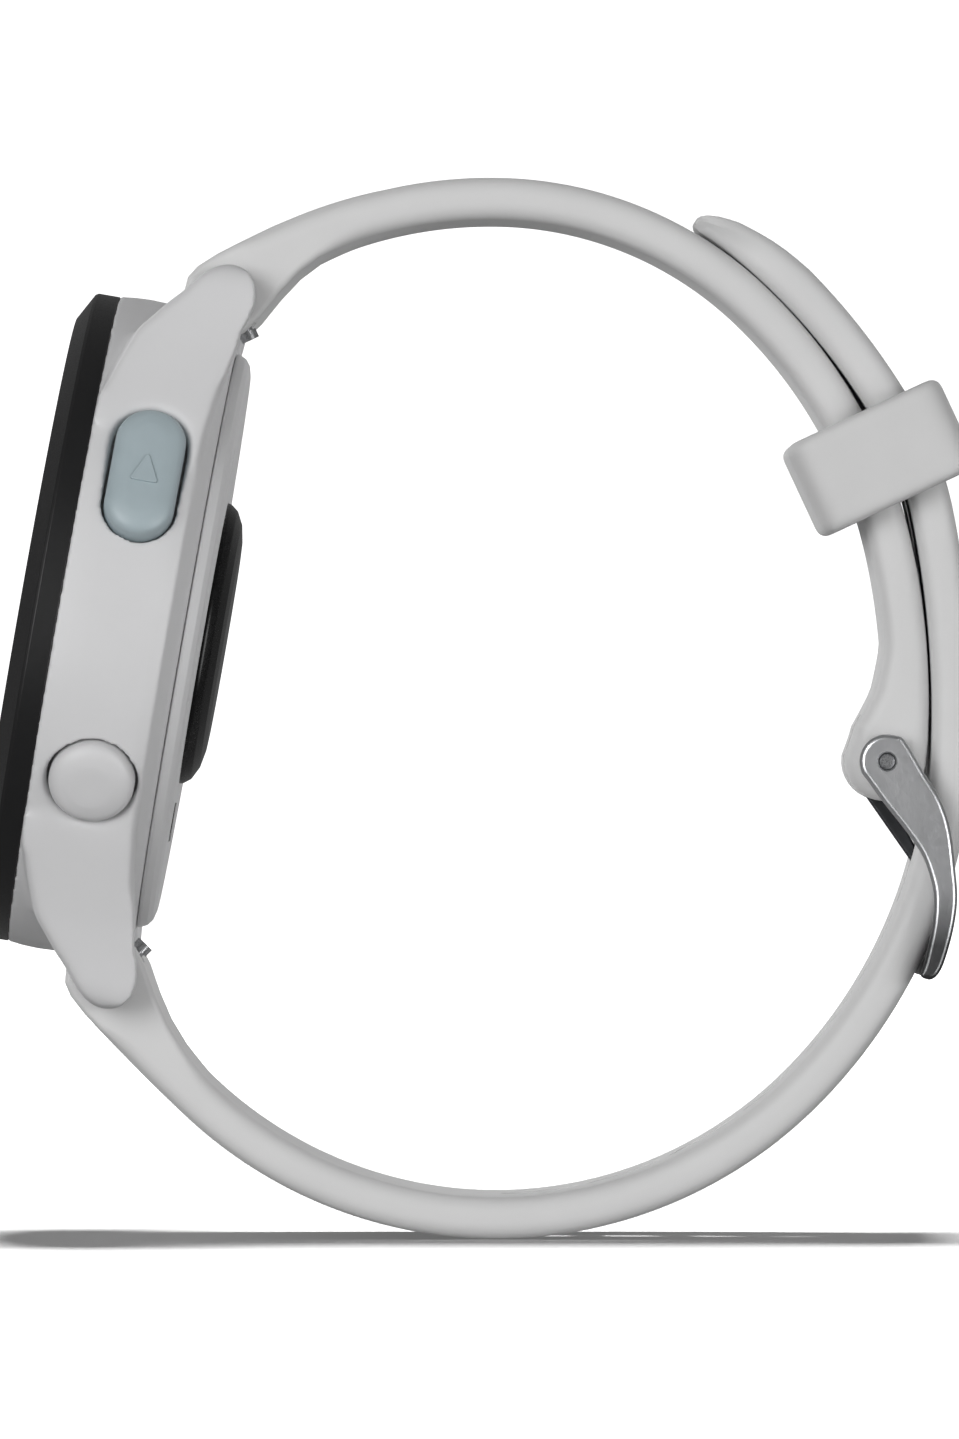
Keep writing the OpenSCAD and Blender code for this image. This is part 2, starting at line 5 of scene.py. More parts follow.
import bmesh
import bpy
import numpy as np
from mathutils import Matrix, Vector


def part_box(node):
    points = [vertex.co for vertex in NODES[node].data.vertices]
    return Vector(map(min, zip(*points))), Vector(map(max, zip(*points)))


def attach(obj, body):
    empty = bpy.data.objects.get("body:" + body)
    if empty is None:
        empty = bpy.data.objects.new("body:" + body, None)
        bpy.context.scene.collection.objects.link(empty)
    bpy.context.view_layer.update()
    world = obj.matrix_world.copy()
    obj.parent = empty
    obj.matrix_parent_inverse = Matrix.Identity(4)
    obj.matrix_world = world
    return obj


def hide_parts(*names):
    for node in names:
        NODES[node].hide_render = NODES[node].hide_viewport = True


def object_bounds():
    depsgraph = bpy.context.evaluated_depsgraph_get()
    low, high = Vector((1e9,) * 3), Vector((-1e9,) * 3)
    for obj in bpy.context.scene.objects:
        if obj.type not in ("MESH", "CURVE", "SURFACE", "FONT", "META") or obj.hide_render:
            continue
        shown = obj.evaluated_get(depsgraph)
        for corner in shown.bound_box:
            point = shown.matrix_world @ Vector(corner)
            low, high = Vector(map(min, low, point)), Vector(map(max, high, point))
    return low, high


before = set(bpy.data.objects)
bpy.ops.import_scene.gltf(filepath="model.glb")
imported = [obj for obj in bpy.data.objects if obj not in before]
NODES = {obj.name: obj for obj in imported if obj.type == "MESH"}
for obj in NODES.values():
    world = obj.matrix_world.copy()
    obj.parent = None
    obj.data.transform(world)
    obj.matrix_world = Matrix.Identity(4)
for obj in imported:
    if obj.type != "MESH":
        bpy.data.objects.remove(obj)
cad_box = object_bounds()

MM = 0.001


# ---- places taken from the frame, in millimetres ----

def middle(node):
    """Centre of a CAD node's box."""
    low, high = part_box(node)
    return (low + high) / 2 / MM


TILT = math.radians(9.9)              # how far the display leans back
DEPTH = Vector((math.cos(TILT), 0, -math.sin(TILT)))
NOON = Vector((math.sin(TILT), 0, math.cos(TILT)))
LENS_T = 1.2                          # lens thickness
LENS = middle("lens") - DEPTH * LENS_T / 2    # middle of the lens's outer face
PIN = middle("buckle_pin")
KEEPER = middle("keeper")

# radii from the case's axis, and depths (_W) below the lens's outer face
CASE_R = 21.5
LENS_R = 19.5
SEAT_R = 18.3           # opening in the bezel's ledge
BEZEL_H = 2.6
COVER_W = 10.75         # where the case meets the rear cover
BACK_W = 11.9           # back of the rear cover
COVER_R = 19.25
HUMP_W = 13.3           # top of the sensor window
HUMP_R = 9.4
FLANGE = 0.85           # sensor window's rim under the rear cover
SCREW_R = 16.4
SCREW_ANGLES = (45, 135, 225, 315)
PORT_Y = -11.95         # charging socket, towards 6 o'clock
BAR_Y = 22.7            # spring bars, towards 12 and 6 o'clock
BAR_W = 9.8
BAR_HOLE_R = 0.93
LEVER_LEAN = 34.8       # degrees that the bar's lever leans off the noon line

BUTTON_W = 6.55
BUTTON_A = 28           # degrees from 3 o'clock to the start button
CAP_TOP = 22.6
CAP_BASE = 20.7
CAP_GAP = 0.06          # extra room round a cap
STEM_END = 17.9
STEM_R = 0.85
CLIP_R = 0.58           # bottom of the stem's groove for its clip
CLIP_W = 0.45

STRAP_W = 20
HALF_T = 1.37           # half the band's thickness
FRAME_W = 24.4          # buckle frame, across the watch
ARM_T = 1.85
PIN_HOLE_R = 0.93


def in_case(x, y, w):
    """Case point (3 o'clock, 12 o'clock, depth below the lens) in the row frame."""
    p = LENS + NOON * y + DEPTH * w
    return Vector((p.x, -x, p.z))


def on_button(angle):
    """Maker of points on a button: along the case side, along the depth, outward."""
    a = math.radians(angle)

    def place(x, y, out):
        return in_case(out * math.cos(a) - y * math.sin(a),
                       out * math.sin(a) + y * math.cos(a), BUTTON_W + x)
    return place


# ---- outlines ----

def soften(points, radius, steps=5, closed=True):
    """Rounds the corners of an outline; short sides get a smaller round."""
    out = []
    count = len(points)
    for i, p in enumerate(points):
        if not closed and i in (0, count - 1):
            out.append(tuple(p))
            continue
        p = np.array(p, float)
        back = np.array(points[i - 1], float) - p
        ahead = np.array(points[(i + 1) % count], float) - p
        lb, la = np.linalg.norm(back), np.linalg.norm(ahead)
        turn = math.acos(np.clip(-np.dot(back, ahead) / (lb * la), -1, 1))
        if turn < math.radians(6):
            out.append(tuple(p))
            continue
        cut = min(radius * math.tan(turn / 2), 0.45 * lb, 0.45 * la)
        a, b = p + back / lb * cut, p + ahead / la * cut
        for t in np.linspace(0, 1, steps):
            out.append(tuple((1 - t) ** 2 * a + 2 * t * (1 - t) * p + t * t * b))
    return out


def through(points, steps=5):
    """Closed smooth curve through a ring of points."""
    pts = [np.array(p, float) for p in points]
    out = []
    for i in range(len(pts)):
        a, b, c, d = pts[i - 1], pts[i], pts[(i + 1) % len(pts)], pts[(i + 2) % len(pts)]
        for t in np.arange(steps) / steps:
            out.append(tuple(0.5 * (2 * b + (c - a) * t + (2 * a - 5 * b + 4 * c - d) * t * t
                                    + (3 * b - a - 3 * c + d) * t ** 3)))
    return out


def arc(cx, cy, r, a0, a1, steps=12):
    return [(cx + r * math.cos(math.radians(a)), cy + r * math.sin(math.radians(a)))
            for a in np.linspace(a0, a1, steps)]


def inward(outline):
    """Unit normals that point into an outline."""
    p = np.array(outline, float)
    area = np.sum(p[:, 0] * np.roll(p[:, 1], -1) - np.roll(p[:, 0], -1) * p[:, 1])
    ahead = np.roll(p, -1, 0) - p
    ahead /= np.linalg.norm(ahead, axis=1)[:, None] + 1e-9
    mean = ahead + np.roll(ahead, 1, 0)
    mean /= np.linalg.norm(mean, axis=1)[:, None] + 1e-9
    normal = np.stack([-mean[:, 1], mean[:, 0]], 1)
    return normal if area > 0 else -normal


def fitted(outline, inner, edge):
    """Edge rounds made small enough near tight corners that the inset outline stays clean."""
    p = np.array(outline, float)
    ahead = np.roll(p, -1, 0) - p
    length = np.sum(ahead ** 2, 1)
    for _ in range(60):
        q = p + inner * edge[:, None]
        bad = np.sum((np.roll(q, -1, 0) - q) * ahead, 1) < 0.2 * length
        if not bad.any():
            break
        edge = np.where(bad | np.roll(bad, 1), edge * 0.88, edge)
    for _ in range(3):
        edge = np.minimum(edge, (np.roll(edge, 1) + np.roll(edge, -1) + edge) / 3)
    return edge


# ---- meshes ----

WELD = 1e-7             # metres
CREASE = 32             # degrees past which an edge is drawn crisp
FLAT_WEIGHT = 80
TINY = 0.01             # edge round of a cutter that should leave a crisp cut


def build(name, verts, faces, material, sharp=CREASE):
    """Object from points in row millimetres, with smooth faces and crisp edges."""
    mesh = bpy.data.meshes.new(name)
    mesh.from_pydata([Vector(v) * MM for v in verts], [], faces)
    bm = bmesh.new()
    bm.from_mesh(mesh)
    bmesh.ops.remove_doubles(bm, verts=bm.verts, dist=WELD)
    bmesh.ops.delete(bm, geom=[e for e in bm.edges if e.is_wire], context="EDGES")
    bmesh.ops.recalc_face_normals(bm, faces=bm.faces)
    bm.to_mesh(mesh)
    bm.free()
    mesh.materials.append(material)
    obj = bpy.data.objects.new(name, mesh)
    bpy.context.scene.collection.objects.link(obj)
    shade(obj, sharp)
    return obj


def shade(obj, sharp):
    obj.data.polygons.foreach_set("use_smooth", [True] * len(obj.data.polygons))
    obj.data.set_sharp_from_angle(angle=math.radians(sharp))


def even_shading(obj):
    """Large flat faces keep their own normals next to rounded edges."""
    even = obj.modifiers.new("even", "WEIGHTED_NORMAL")
    even.keep_sharp = True
    even.weight = FLAT_WEIGHT


def carve(obj, tool, operation="DIFFERENCE"):
    """Exact boolean with a tool object, which is then removed."""
    cut = obj.modifiers.new("cut", "BOOLEAN")
    cut.operation = operation
    cut.solver = "EXACT"
    cut.object = tool
    graph = bpy.context.evaluated_depsgraph_get()
    graph.update()
    mesh = bpy.data.meshes.new_from_object(obj.evaluated_get(graph))
    obj.modifiers.remove(cut)
    old = obj.data
    obj.data = mesh
    bpy.data.meshes.remove(old)
    bpy.data.objects.remove(tool)
    mesh.name = obj.name
    shade(obj, CREASE)


def ring_faces(rows, count, close_rows=False):
    """Quads between rows of count points each, closed round every row."""
    faces = []
    for r in range(rows if close_rows else rows - 1):
        for i in range(count):
            a, b = r * count + i, r * count + (i + 1) % count
            c = ((r + 1) % rows) * count
            faces.append((a, b, c + (i + 1) % count, c + i))
    return faces


def turned(name, profile, material, place, closed=True, segments=144):
    """Turned solid: [radius, height] points run round an axis by place(x, y, height)."""
    verts = [place(r * math.cos(a), r * math.sin(a), h) for r, h in profile
             for a in np.linspace(0, 2 * math.pi, segments, endpoint=False)]
    return build(name, verts, ring_faces(len(profile), segments, closed), material)


def case_turned(name, profile, material, **how):
    return turned(name, profile, material, in_case, **how)


def stack(name, profile, half, material, place, segments=48):
    """Disc, or stadium of that half length, built up from [radius, height] points and
    closed at both ends."""
    angles = np.linspace(0, 2 * math.pi, segments, endpoint=False)
    verts = [place(r * math.cos(a), r * math.sin(a) + math.copysign(half, math.sin(a)), h)
             for r, h in profile for a in angles]
    faces = ring_faces(len(profile), segments)
    faces += [tuple(range(segments)),
              tuple(range((len(profile) - 1) * segments, len(profile) * segments))]
    return build(name, verts, faces, material)


def at_pin(x, y, out):
    return Vector((PIN.x + x, out, PIN.z + y))


def prism(name, outline, half, edge, material, place, mid=0, pairs=(), steps=6):
    """Outline swept across the watch, with rounded edges. half is the half width and edge
    the round at each corner, both numbers or one per point. pairs joins points of the
    outline across it, so that those stretches of the side get clean quads."""
    count = len(outline)
    p = np.array(outline, float)
    inner = inward(outline)
    half = np.broadcast_to(np.asarray(half, float), (count,))
    edge = fitted(outline, inner, np.broadcast_to(np.asarray(edge, float), (count,)))
    rows = []
    for phi in np.linspace(0, math.pi / 2, steps):
        q = p + inner * (edge * (1 - math.sin(phi)))[:, None]
        rows.append((q, half - edge + edge * math.cos(phi)))
    verts = []
    for q, y in [(q, -y) for q, y in rows] + rows[::-1]:
        verts += [place(a, b, mid + c) for (a, b), c in zip(q, y)]
    faces = ring_faces(2 * steps, count)
    last = (2 * steps - 1) * count
    cap = [(i, k, m, j) for (i, j), (k, m) in zip(pairs, pairs[1:])]
    if pairs:
        (i, j), (k, m) = pairs[0], pairs[-1]
        cap.append(tuple(range(j, count)) + tuple(range(0, i + 1)))
        if m - k > 1:
            cap.append(tuple(range(k, m + 1)))
    else:
        cap.append(tuple(range(count)))
    faces += cap + [tuple(last + i for i in face) for face in cap]
    return build(name, verts, faces, material)


# ---- materials ----

def linear(red, green, blue):
    """Scene colour from 0-255 display values."""
    def one(v):
        v /= 255
        return v / 12.92 if v <= 0.04045 else ((v + 0.055) / 1.055) ** 2.4
    return one(red), one(green), one(blue), 1


def times(colour, k):
    return tuple(min(1, c * k) for c in colour[:3]) + (1,)


RAISED = (0.52, 0.6)    # pointiness where edge wear starts and is full
WORN = 1.9              # how much brighter a worn edge is
BUMP_DEPTH = 0.02


def surface(name, colour, roughness, metallic=0.0, vary=0.04, mottle=3.0, grain=0.15,
            bump=0.15, stretch=(1, 1, 1), rough_vary=0.07, wear=0.0, coat=0.0, sheen=0.0,
            specular=0.5, painted_shade=None):
    """Noise-driven material. mottle and grain are the sizes, in millimetres, of its broad
    colour change and of its fine surface texture. wear brightens the raised edges, and the
    last argument is painted shade: it darkens the colour from one height to a lower one."""
    material = bpy.data.materials.new(name)
    material.use_nodes = True
    nodes, links = material.node_tree.nodes, material.node_tree.links
    shader = nodes["Principled BSDF"]
    shader.inputs["Metallic"].default_value = metallic
    shader.inputs["Specular IOR Level"].default_value = specular
    shader.inputs["Coat Weight"].default_value = coat
    shader.inputs["Coat Roughness"].default_value = 0.08
    shader.inputs["Sheen Weight"].default_value = sheen
    where = nodes.new("ShaderNodeTexCoord")
    scale = nodes.new("ShaderNodeMapping")
    scale.inputs["Scale"].default_value = stretch
    links.new(where.outputs["Object"], scale.inputs["Vector"])

    def noise(size, detail):
        node = nodes.new("ShaderNodeTexNoise")
        node.inputs["Scale"].default_value = 1 / (size * MM)
        node.inputs["Detail"].default_value = detail
        links.new(scale.outputs["Vector"], node.inputs["Vector"])
        return node.outputs["Fac"]

    broad, fine = noise(mottle, 3), noise(grain, 2)
    ramp = nodes.new("ShaderNodeValToRGB")
    ramp.color_ramp.elements[0].position = 0.3
    ramp.color_ramp.elements[1].position = 0.7
    ramp.color_ramp.elements[0].color = times(colour, 1 - vary)
    ramp.color_ramp.elements[1].color = times(colour, 1 + vary)
    links.new(broad, ramp.inputs["Fac"])
    tint = ramp.outputs["Color"]

    def blend(amount, other):
        nonlocal tint
        mix = nodes.new("ShaderNodeMixRGB")
        links.new(amount, mix.inputs["Fac"])
        links.new(tint, mix.inputs["Color1"])
        mix.inputs["Color2"].default_value = other
        tint = mix.outputs["Color"]

    def band(value, low, high, to_low, to_high):
        node = nodes.new("ShaderNodeMapRange")
        for key, number in (("From Min", low), ("From Max", high),
                            ("To Min", to_low), ("To Max", to_high)):
            node.inputs[key].default_value = number
        links.new(value, node.inputs["Value"])
        return node.outputs["Result"]

    if wear:
        shape = nodes.new("ShaderNodeNewGeometry")
        blend(band(shape.outputs["Pointiness"], *RAISED, 0, wear), times(colour, WORN))
    if painted_shade:
        # painted shade: the colour gets darker from one height down to a lower one
        split = nodes.new("ShaderNodeSeparateXYZ")
        links.new(where.outputs["Object"], split.inputs["Vector"])
        high, low, depth = painted_shade
        blend(band(split.outputs["Z"], high * MM, low * MM, 0, 1), times(colour, depth))
    links.new(tint, shader.inputs["Base Color"])
    links.new(band(fine, 0.3, 0.7, roughness - rough_vary, roughness + rough_vary),
              shader.inputs["Roughness"])
    relief = nodes.new("ShaderNodeBump")
    relief.inputs["Strength"].default_value = bump
    relief.inputs["Distance"].default_value = BUMP_DEPTH * MM
    links.new(fine, relief.inputs["Height"])
    links.new(relief.outputs["Normal"], shader.inputs["Normal"])
    return material


PRINT_R = 15.9          # inner edge of the black border printed on the glass
PRINT_BLUR = 0.2


def glass():
    """Black cover glass: a gloss printed border round a slightly bluer display."""
    material = surface("cover_glass", linear(14, 15, 17), 0.07, vary=0.1, mottle=8,
                       bump=0.01, rough_vary=0.02, coat=0.6)
    nodes, links = material.node_tree.nodes, material.node_tree.links
    where = nodes["Texture Coordinate"]
    far = nodes.new("ShaderNodeVectorMath")
    far.operation = "DISTANCE"
    far.inputs[1].default_value = LENS * MM
    links.new(where.outputs["Object"], far.inputs[0])
    edge = nodes.new("ShaderNodeMapRange")
    edge.inputs["From Min"].default_value = PRINT_R * MM
    edge.inputs["From Max"].default_value = (PRINT_R + PRINT_BLUR) * MM
    links.new(far.outputs["Value"], edge.inputs["Value"])
    mix = nodes.new("ShaderNodeMixRGB")
    mix.inputs["Color1"].default_value = linear(24, 27, 32)
    shader = nodes["Principled BSDF"]
    base = shader.inputs["Base Color"].links[0].from_socket
    links.new(edge.outputs["Result"], mix.inputs["Fac"])
    links.new(base, mix.inputs["Color2"])
    links.new(mix.outputs["Color"], shader.inputs["Base Color"])
    return material


CASE_GREY = surface("case_plastic", linear(214, 214, 215), 0.5, vary=0.012, mottle=5,
                    grain=0.12, bump=0.12)
CAP_GREY = surface("cap_plastic", linear(214, 214, 215), 0.45, vary=0.012, mottle=2,
                   grain=0.1, bump=0.08)
COVER_GREY = surface("cover_plastic", linear(212, 212, 213), 0.55, vary=0.015, mottle=4,
                     grain=0.12, bump=0.2)
SILICONE = surface("silicone", linear(212, 212, 212), 0.58, vary=0.015, mottle=6,
                   grain=0.09, bump=0.2, sheen=0.12)
# the keeper's silicone is the strap's, made darker with painted shade
SHADED_KEEPER_SILICONE = surface("keeper_silicone_shaded", linear(207, 207, 207), 0.6, vary=0.015,
                          mottle=4, grain=0.09, bump=0.2, sheen=0.12)
RUN_GREY = surface("run_plastic", linear(168, 182, 187), 0.42, vary=0.02, mottle=1.5,
                   grain=0.09, bump=0.1)
BEZEL_BLACK = surface("bezel_black", linear(24, 24, 25), 0.4, vary=0.08, mottle=3,
                      grain=0.1, bump=0.1, specular=0.4)
WINDOW_BLACK = surface("window_black", linear(10, 10, 11), 0.3, vary=0.1, mottle=4,
                       bump=0.02, rough_vary=0.05, specular=0.25)
# the buckle frame's lower end is darkened with painted shade
GUNMETAL = surface("gunmetal", linear(196, 197, 199), 0.36, metallic=1, vary=0.05,
                   mottle=0.6, grain=0.05, bump=0.12, stretch=(1, 1, 0.12), wear=0.5,
                   painted_shade=(PIN.z - 8, PIN.z - 12, 0.2))
DARK_METAL = surface("dark_metal", linear(70, 71, 73), 0.34, metallic=1, vary=0.06,
                     mottle=0.6, grain=0.05, bump=0.1, wear=0.5)
STEEL = surface("steel", linear(176, 177, 179), 0.3, metallic=1, vary=0.05, mottle=0.5,
                grain=0.05, bump=0.1, stretch=(1, 0.1, 1))
RUBBER = surface("black_rubber", linear(30, 30, 31), 0.7, vary=0.08, mottle=1)
BLACK_PLASTIC = surface("black_plastic", linear(26, 26, 28), 0.5, vary=0.08, mottle=1)
GOLD = surface("gold_plate", linear(226, 184, 92), 0.25, metallic=1, mottle=0.4)
BOARD = surface("solder_mask", linear(22, 84, 52), 0.4, vary=0.15, mottle=0.8, coat=0.2)
FOIL = surface("battery_foil", linear(168, 170, 174), 0.35, metallic=1, mottle=1.2,
               bump=0.5, grain=0.6)
CHASSIS = surface("chassis_metal", linear(128, 130, 134), 0.4, metallic=1, mottle=0.8,
                  stretch=(1, 1, 0.2))
BRASS = surface("rotor_metal", linear(170, 148, 104), 0.45, metallic=1, mottle=0.3,
                bump=0.4)
DISPLAY = surface("display_black", linear(12, 12, 16), 0.2, vary=0.1, mottle=3)
GLASS = glass()


# ---- case ----

def keep(piece, body, slot, *nodes):
    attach(piece, body)
    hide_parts(*nodes)
    return piece


def make_lens():
    profile = [(0, 0), (LENS_R - 0.25, 0), (LENS_R - 0.05, 0.2), (LENS_R - 0.05, LENS_T),
               (0, LENS_T)]
    lens = case_turned("lens_glass", soften(profile, 0.12, closed=False), GLASS,
                       closed=False, segments=192)
    even_shading(lens)
    keep(lens, "watch", "glass_black", "lens")


def make_bezel():
    profile = [(LENS_R, 0.02), (LENS_R + 0.15, 0), (CASE_R - 0.12, 0.95), (CASE_R, 1.15),
               (CASE_R, BEZEL_H - 0.06), (CASE_R - 0.08, BEZEL_H), (SEAT_R, BEZEL_H),
               (SEAT_R, LENS_T + 0.2), (LENS_R, LENS_T + 0.2)]
    bezel = case_turned("bezel_ring", soften(profile, 0.12), BEZEL_BLACK, segments=192)
    even_shading(bezel)
    keep(bezel, "watch", "bezel_black", "bezel")


def relax(coords, edges, weight, rounds, step):
    """Moves points toward their neighbours' mean, by weight and step."""
    count = len(coords)
    ends = np.concatenate([edges[:, 0], edges[:, 1]])
    others = np.concatenate([edges[:, 1], edges[:, 0]])
    degree = np.bincount(ends, minlength=count)
    for _ in range(rounds):
        mean = np.stack([np.bincount(ends, weights=column[others], minlength=count) / degree
                         for column in coords.T], 1)
        coords += (mean - coords) * (weight * step)
    return coords


VOXEL = 0.16            # grid of the case's remesh
CAD_WELD = 2e-6         # metres, joins the CAD mesh's faces
TAUBIN = (0.5, -0.53)   # shrink and swell steps that take out the grid's ripple
TAUBIN_ROUNDS = 6
FLOW_ROUNDS = 40        # smoothing of the lug roots
FLOW_STEP = 0.6


def make_mid_case():
    """Case body: the CAD form remeshed, its lugs flowed into the round side."""
    source = NODES["mid_case"]
    mesh = source.data.copy()
    bm = bmesh.new()
    bm.from_mesh(mesh)
    bmesh.ops.remove_doubles(bm, verts=bm.verts, dist=CAD_WELD)
    bm.to_mesh(mesh)
    bm.free()
    case = bpy.data.objects.new("case_body", mesh)
    bpy.context.scene.collection.objects.link(case)
    remesh = case.modifiers.new("remesh", "REMESH")
    remesh.mode = "VOXEL"
    remesh.voxel_size = VOXEL * MM
    graph = bpy.context.evaluated_depsgraph_get()
    graph.update()
    fine = bpy.data.meshes.new_from_object(case.evaluated_get(graph))
    case.modifiers.clear()
    case.data = fine
    coords = np.empty(len(fine.vertices) * 3)
    fine.vertices.foreach_get("co", coords)
    coords = coords.reshape(-1, 3)
    edges = np.empty(len(fine.edges) * 2, np.int64)
    fine.edges.foreach_get("vertices", edges)
    edges = edges.reshape(-1, 2)
    away = coords / MM - np.array(LENS)
    depth = away @ np.array(DEPTH)
    noon = np.abs(away @ np.array(NOON))
    side = np.abs(away[:, 1])
    radius = np.hypot(noon, side)
    everywhere = np.ones((len(coords), 1))
    for _ in range(TAUBIN_ROUNDS):
        for step in TAUBIN:
            relax(coords, edges, everywhere, 1, step)
    # the joints with the bezel and cover, the inside and the strap's sides stay as they are
    fixed = (depth < 2.95) | (depth > COVER_W - 0.3) | (radius < 20.9) | (side < 10.3)
    lug = np.clip((noon - 8.5) / 3, 0, 1) * ~fixed
    lug = relax(lug[:, None].copy(), edges, everywhere, 6, 1.0)
    relax(coords, edges, lug, FLOW_ROUNDS, FLOW_STEP)
    fine.vertices.foreach_set("co", coords.ravel())
    fine.materials.clear()
    fine.materials.append(CASE_GREY)
    fine.update()
    shade(case, 60)
    keep(case, "watch", "case_grey", "mid_case")


def make_rear_cover():
    recess = HUMP_R + FLANGE + 0.05
    profile = [(HUMP_R, COVER_W + 0.45), (recess, COVER_W + 0.45), (recess, COVER_W),
               (COVER_R, COVER_W), (18.9, 11.45), (18.5, 11.75), (17.9, BACK_W),
               (HUMP_R + 0.12, BACK_W), (HUMP_R, BACK_W - 0.12)]
    cover = case_turned("rear_cover_plate", soften(profile, 0.25), COVER_GREY, segments=192)
    port = [(x, PORT_Y + y) for x, y in soften([(-4, -1.3), (4, -1.3), (4, 1.3), (-4, 1.3)],
                                               0.5)]
    carve(cover, prism("port", port, 1.5, TINY, COVER_GREY, in_case, mid=11.5, steps=2))
    head = [(0.6, 10), (0.6, 11.35), (1.15, 11.35), (1.15, 11.8), (1.35, 12.1)]
    for angle in SCREW_ANGLES:
        x = SCREW_R * math.cos(math.radians(angle))
        y = SCREW_R * math.sin(math.radians(angle))
        carve(cover, stack("head", head, 0, COVER_GREY,
                           lambda a, b, w, x=x, y=y: in_case(x + a, y + b, w), segments=32))
    even_shading(cover)
    keep(cover, "watch", "cover_grey", "rear_cover")


def make_sensor_window():
    profile = [(0, 12.6), (7.2, 12.6), (8.2, 12), (8.2, 10.8), (HUMP_R + FLANGE, 10.8),
               (HUMP_R + FLANGE, 11.18), (HUMP_R - 0.05, 11.2), (HUMP_R - 0.05, 12.1),
               (HUMP_R - 0.45, 12.62), (HUMP_R - 1.3, 13.05), (HUMP_R - 2.4, 13.26),
               (HUMP_R - 3.2, HUMP_W), (0, HUMP_W)]
    window = case_turned("sensor_window_dome", soften(profile, 0.4, closed=False),
                         WINDOW_BLACK, closed=False, segments=160)
    even_shading(window)
    keep(window, "watch", "window", "sensor_window")


# ---- buttons ----

# how far in from the cap's outline, and how far out from the case's axis
CAP_EDGE = [(0, CAP_BASE), (0, 21.72), (0.05, 21.95), (0.2, 22.16), (0.46, 22.33), (0.8, 22.45),
            (1.1, 22.515), (1.22, 22.55), (1.42, 22.575), (1.75, 22.59), (2.2, CAP_TOP)]


def make_cap(name, angle, half, radius, material, slot, low):
    """Button cap: pillow top, spring recess below, and a grooved stem for its clip."""
    place = on_button(angle)
    profile = [(radius - CAP_GAP - inset, out - low * (out - CAP_BASE) / (CAP_TOP - CAP_BASE))
               for inset, out in CAP_EDGE]
    cap = stack(f"{name}_cap_shell", profile, half, material, place, segments=96)
    carve(cap, stack("recess", [(1.75, CAP_BASE - 1), (1.75, 21.5)], 0, material, place))
    groove = STEM_END + 0.5
    stem = [(STEM_R, STEM_END), (STEM_R, groove), (CLIP_R, groove),
            (CLIP_R, groove + CLIP_W), (STEM_R, groove + CLIP_W), (STEM_R, 21.7)]
    carve(cap, stack("stem", stem, 0, material, place, segments=32), "UNION")
    if half:
        corners = [(-0.95, -1.1), (0.95, -1.1), (0, 1.1)]
        carve(cap, prism("mark", soften(corners, 0.2), 0.17, 0.05, material, place,
                         mid=CAP_TOP - 0.05), "UNION")
    even_shading(cap)
    keep(cap, f"{name}_button", slot, f"{name}_cap")


ROUND_CAP_R = 2.85
RUN_CAP_R = 2.35
RUN_CAP_HALF = 2.3      # half the straight part of the long button
ROUND_CAP_LOW = 0.16    # how much lower the round caps are than the long one


def make_buttons():
    make_cap("run", BUTTON_A, RUN_CAP_HALF, RUN_CAP_R, RUN_GREY, "run_grey", 0)
    for name, angle in (("back", -BUTTON_A), ("light", 180 - BUTTON_A), ("up", 180),
                        ("down", 180 + BUTTON_A)):
        make_cap(name, angle, 0, ROUND_CAP_R, CAP_GREY, "case_grey", ROUND_CAP_LOW)


# ---- straps: the same paths and offsets as the part's source ----

# where each path starts (x, z, heading), and its arcs (length, radius)
SHORT_START = (-23.58, 27.22, 28.9)
SHORT_ARCS = [(8.21, -106.73), (13.25, -28.96), (17.77, -24.65), (18.66, -31.45),
              (13.43, -45.31), (14, -18)]
LONG_START = (-30.36, -17.42, -53.6)
LONG_ARCS = [(10.85, 58.26), (43.31, 28.35), (25.27, 33.18), (15.18, 67.65), (7.06, 21.09),
             (16.31, 42.93), (8, 26)]
TAIL_S = 120.3          # end of the long strap
# the band's faces: length along the path, and offset from it
SHORT_OUT = [(2.6, 1.64), (6.5, 1.66), (10, 1.52), (14, HALF_T), (66, HALF_T), (72.3, 1.38)]
SHORT_IN = [(3, -3.2), (4.9, -2.48), (6.8, -1.75), (8.4, -1.48), (11, -HALF_T),
            (64.5, -HALF_T), (67.5, -2.1), (70, -3.3), (72.3, -3.82)]
LONG_OUT = [(1.6, -1.7), (5.5, -1.47), (9, -HALF_T), (112.5, -HALF_T), (114.2, -1.25),
            (115.4, -1.11), (116.6, -0.9), (117.9, -0.65), (119, -0.28),
            (119.8, 0.1), (120.15, 0.38), (TAIL_S, 0.6)]
LONG_IN = [(1.6, 3.2), (3.6, 2.59), (5.6, 1.95), (7.2, 1.66), (10, HALF_T), (119.6, HALF_T),
           (120.1, 1.22), (TAIL_S, 1.02)]
PIN_S = 72.3            # the buckle pin, along the short strap
END_R = 2.6             # round of the strap's end about the pin
TONGUE_S = 71.05        # the hole that the tongue is in, along the long strap
HOLES_EACH_WAY = 6
HOLE_PITCH = 6
HOLE_L = 4.5
HOLE_W = 2.4
TAIL_R = 7              # corner radius of the long strap's end
EDGE = 1.12             # round of the band's long edges
ROOT_EDGE = 0.45
STRAP_STEP = 0.6        # spacing of the points along a band


def along(start, arcs, s):
    """Where a path is after a length s: x, z and heading in degrees."""
    x, z, h = start
    for i, (length, r) in enumerate(arcs):
        part = s if i == len(arcs) - 1 else min(s, length)
        turn = h + math.degrees(part / r)
        x += r * (math.sin(math.radians(turn)) - math.sin(math.radians(h)))
        z -= r * (math.cos(math.radians(turn)) - math.cos(math.radians(h)))
        h = turn
        s -= part
        if s <= 0:
            break
    return x, z, h


def beside(q, offset):
    h = math.radians(q[2])
    return q[0] - offset * math.sin(h), q[1] + offset * math.cos(h)


def lookup(s, table):
    return float(np.interp(s, [t[0] for t in table], [t[1] for t in table]))


